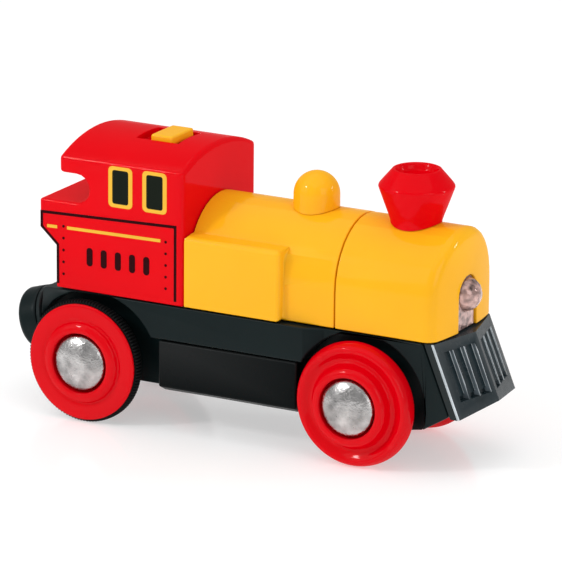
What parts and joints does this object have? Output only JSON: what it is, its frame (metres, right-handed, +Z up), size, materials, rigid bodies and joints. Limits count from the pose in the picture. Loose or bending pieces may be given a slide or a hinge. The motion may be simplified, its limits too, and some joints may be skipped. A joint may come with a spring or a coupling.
{
  "type": "toy train locomotive",
  "caption": "Battery toy steam locomotive for wooden track, with geared drive to the rear axle, a roof switch, a battery door and a swinging, lifting magnet coupling.",
  "frame": {"origin": "on the floor, under the middle of the engine, coupling barrel and cowcatcher tip included", "axes": "+X forward along the track, +Y to the engine's left across the track, +Z up"},
  "size_m": [0.1024, 0.0376, 0.0553],
  "materials": {
    "red_plastic": "glossy moulded red",
    "amber_plastic": "glossy moulded amber",
    "black_plastic": "satin black",
    "plow_plastic": "glossy dark grey",
    "clear_plastic": "clear, moulded texture behind",
    "steel": "plain steel",
    "hub_cap_metal": "bright, lightly brushed",
    "tyre_rubber": "dull black, toothed",
    "gear_nylon": "natural nylon",
    "brass": "plain brass",
    "battery_sleeve": "printed sleeve, no marks"
  },
  "bodies": {
    "chassis": {"chassis_frame": "black_plastic", "cab_shell": "red_plastic", "boiler_rear_shell": "amber_plastic", "boiler_front_shell": "amber_plastic", "dome": "amber_plastic", "funnel": "red_plastic", "headlamp_lens": "clear_plastic", "headlamp_led": "clear_plastic", "cowcatcher": "plow_plastic", "switch_contact": "brass", "gearbox_cover": "black_plastic", "gearbox_screw_1": "steel", "gearbox_screw_2": "steel", "gearbox_plate": "gear_nylon", "motor_can": "steel", "motor_end_bell": "gear_nylon", "lower_gear_pin": "steel", "upper_gear_pin": "steel", "battery": "battery_sleeve", "battery_spring": "steel", "rear_contact": "brass", "front_contact": "brass", "front_bush_left": "brass", "front_bush_right": "brass", "rear_bush_left": "brass", "rear_bush_right": "brass", "coupler_yaw_pin": "steel", "body_screw_left": "steel", "body_screw_right": "steel"},
    "rear_axle_set": {"rear_axle": "steel", "rear_wheel_left": "red_plastic", "rear_wheel_right": "red_plastic", "rear_tyre_left": "tyre_rubber", "rear_tyre_right": "tyre_rubber", "rear_hub_cap_left": "hub_cap_metal", "rear_hub_cap_right": "hub_cap_metal", "axle_gear": "gear_nylon"},
    "front_axle_set": {"front_axle": "steel", "front_wheel_left": "red_plastic", "front_wheel_right": "red_plastic", "front_hub_cap_left": "hub_cap_metal", "front_hub_cap_right": "hub_cap_metal"},
    "lower_gear": {"lower_compound_gear": "gear_nylon"},
    "upper_gear": {"upper_compound_gear": "gear_nylon"},
    "motor_rotor": {"motor_shaft": "steel", "motor_pinion": "brass"},
    "switch": {"switch_slider": "amber_plastic"},
    "coupler_arm": {"coupler_knuckle": "black_plastic", "coupler_pitch_pin": "steel"},
    "coupler_head": {"coupler_housing": "black_plastic", "coupler_cap": "black_plastic", "coupler_magnet": "steel"},
    "door": {"battery_door": "black_plastic"},
    "door_screw": {"door_screw": "steel"}
  },
  "joints": [
    {"name": "rear_axle_spin", "type": "hinge", "parent": "chassis", "child": "rear_axle_set", "pos_m": [-0.02955, 0, 0.012], "axis": [0, 1, 0], "continuous": true},
    {"name": "front_axle_spin", "type": "hinge", "parent": "chassis", "child": "front_axle_set", "pos_m": [0.0281, 0, 0.012], "axis": [0, 1, 0], "continuous": true},
    {"name": "lower_gear_spin", "type": "hinge", "parent": "chassis", "child": "lower_gear", "pos_m": [-0.03029, 0, 0.02047], "axis": [0, 1, 0], "continuous": true},
    {"name": "upper_gear_spin", "type": "hinge", "parent": "chassis", "child": "upper_gear", "pos_m": [-0.02738, 0, 0.02846], "axis": [0, 1, 0], "continuous": true},
    {"name": "motor_spin", "type": "hinge", "parent": "chassis", "child": "motor_rotor", "pos_m": [-0.0195, 0, 0.03164], "axis": [0, 1, 0], "continuous": true},
    {"name": "switch_slide", "type": "slide", "parent": "chassis", "child": "switch", "axis": [1, 0, 0], "range_m": [-0.0027, 0.0012]},
    {"name": "coupler_yaw", "type": "hinge", "parent": "chassis", "child": "coupler_arm", "pos_m": [-0.0412, 0, 0.0163], "axis": [0, 0, 1], "range_deg": [-15, 15]},
    {"name": "coupler_pitch", "type": "hinge", "parent": "coupler_arm", "child": "coupler_head", "pos_m": [-0.0446, 0, 0.0151], "axis": [0, 1, 0], "range_deg": [0, 20]},
    {"name": "door_lift", "type": "slide", "parent": "chassis", "child": "door", "axis": [0, 0, -1], "range_m": [0, 0.012]},
    {"name": "door_screw_turn", "type": "hinge", "parent": "door", "child": "door_screw", "pos_m": [-0.004, -0.0099, 0.0118], "axis": [0, 0, 1], "continuous": true}
  ],
  "couplings": [
    {"joint": "lower_gear_spin", "follows": "rear_axle_spin", "ratio": -1.8333},
    {"joint": "upper_gear_spin", "follows": "rear_axle_spin", "ratio": 4.4},
    {"joint": "motor_spin", "follows": "rear_axle_spin", "ratio": -14.3}
  ]
}
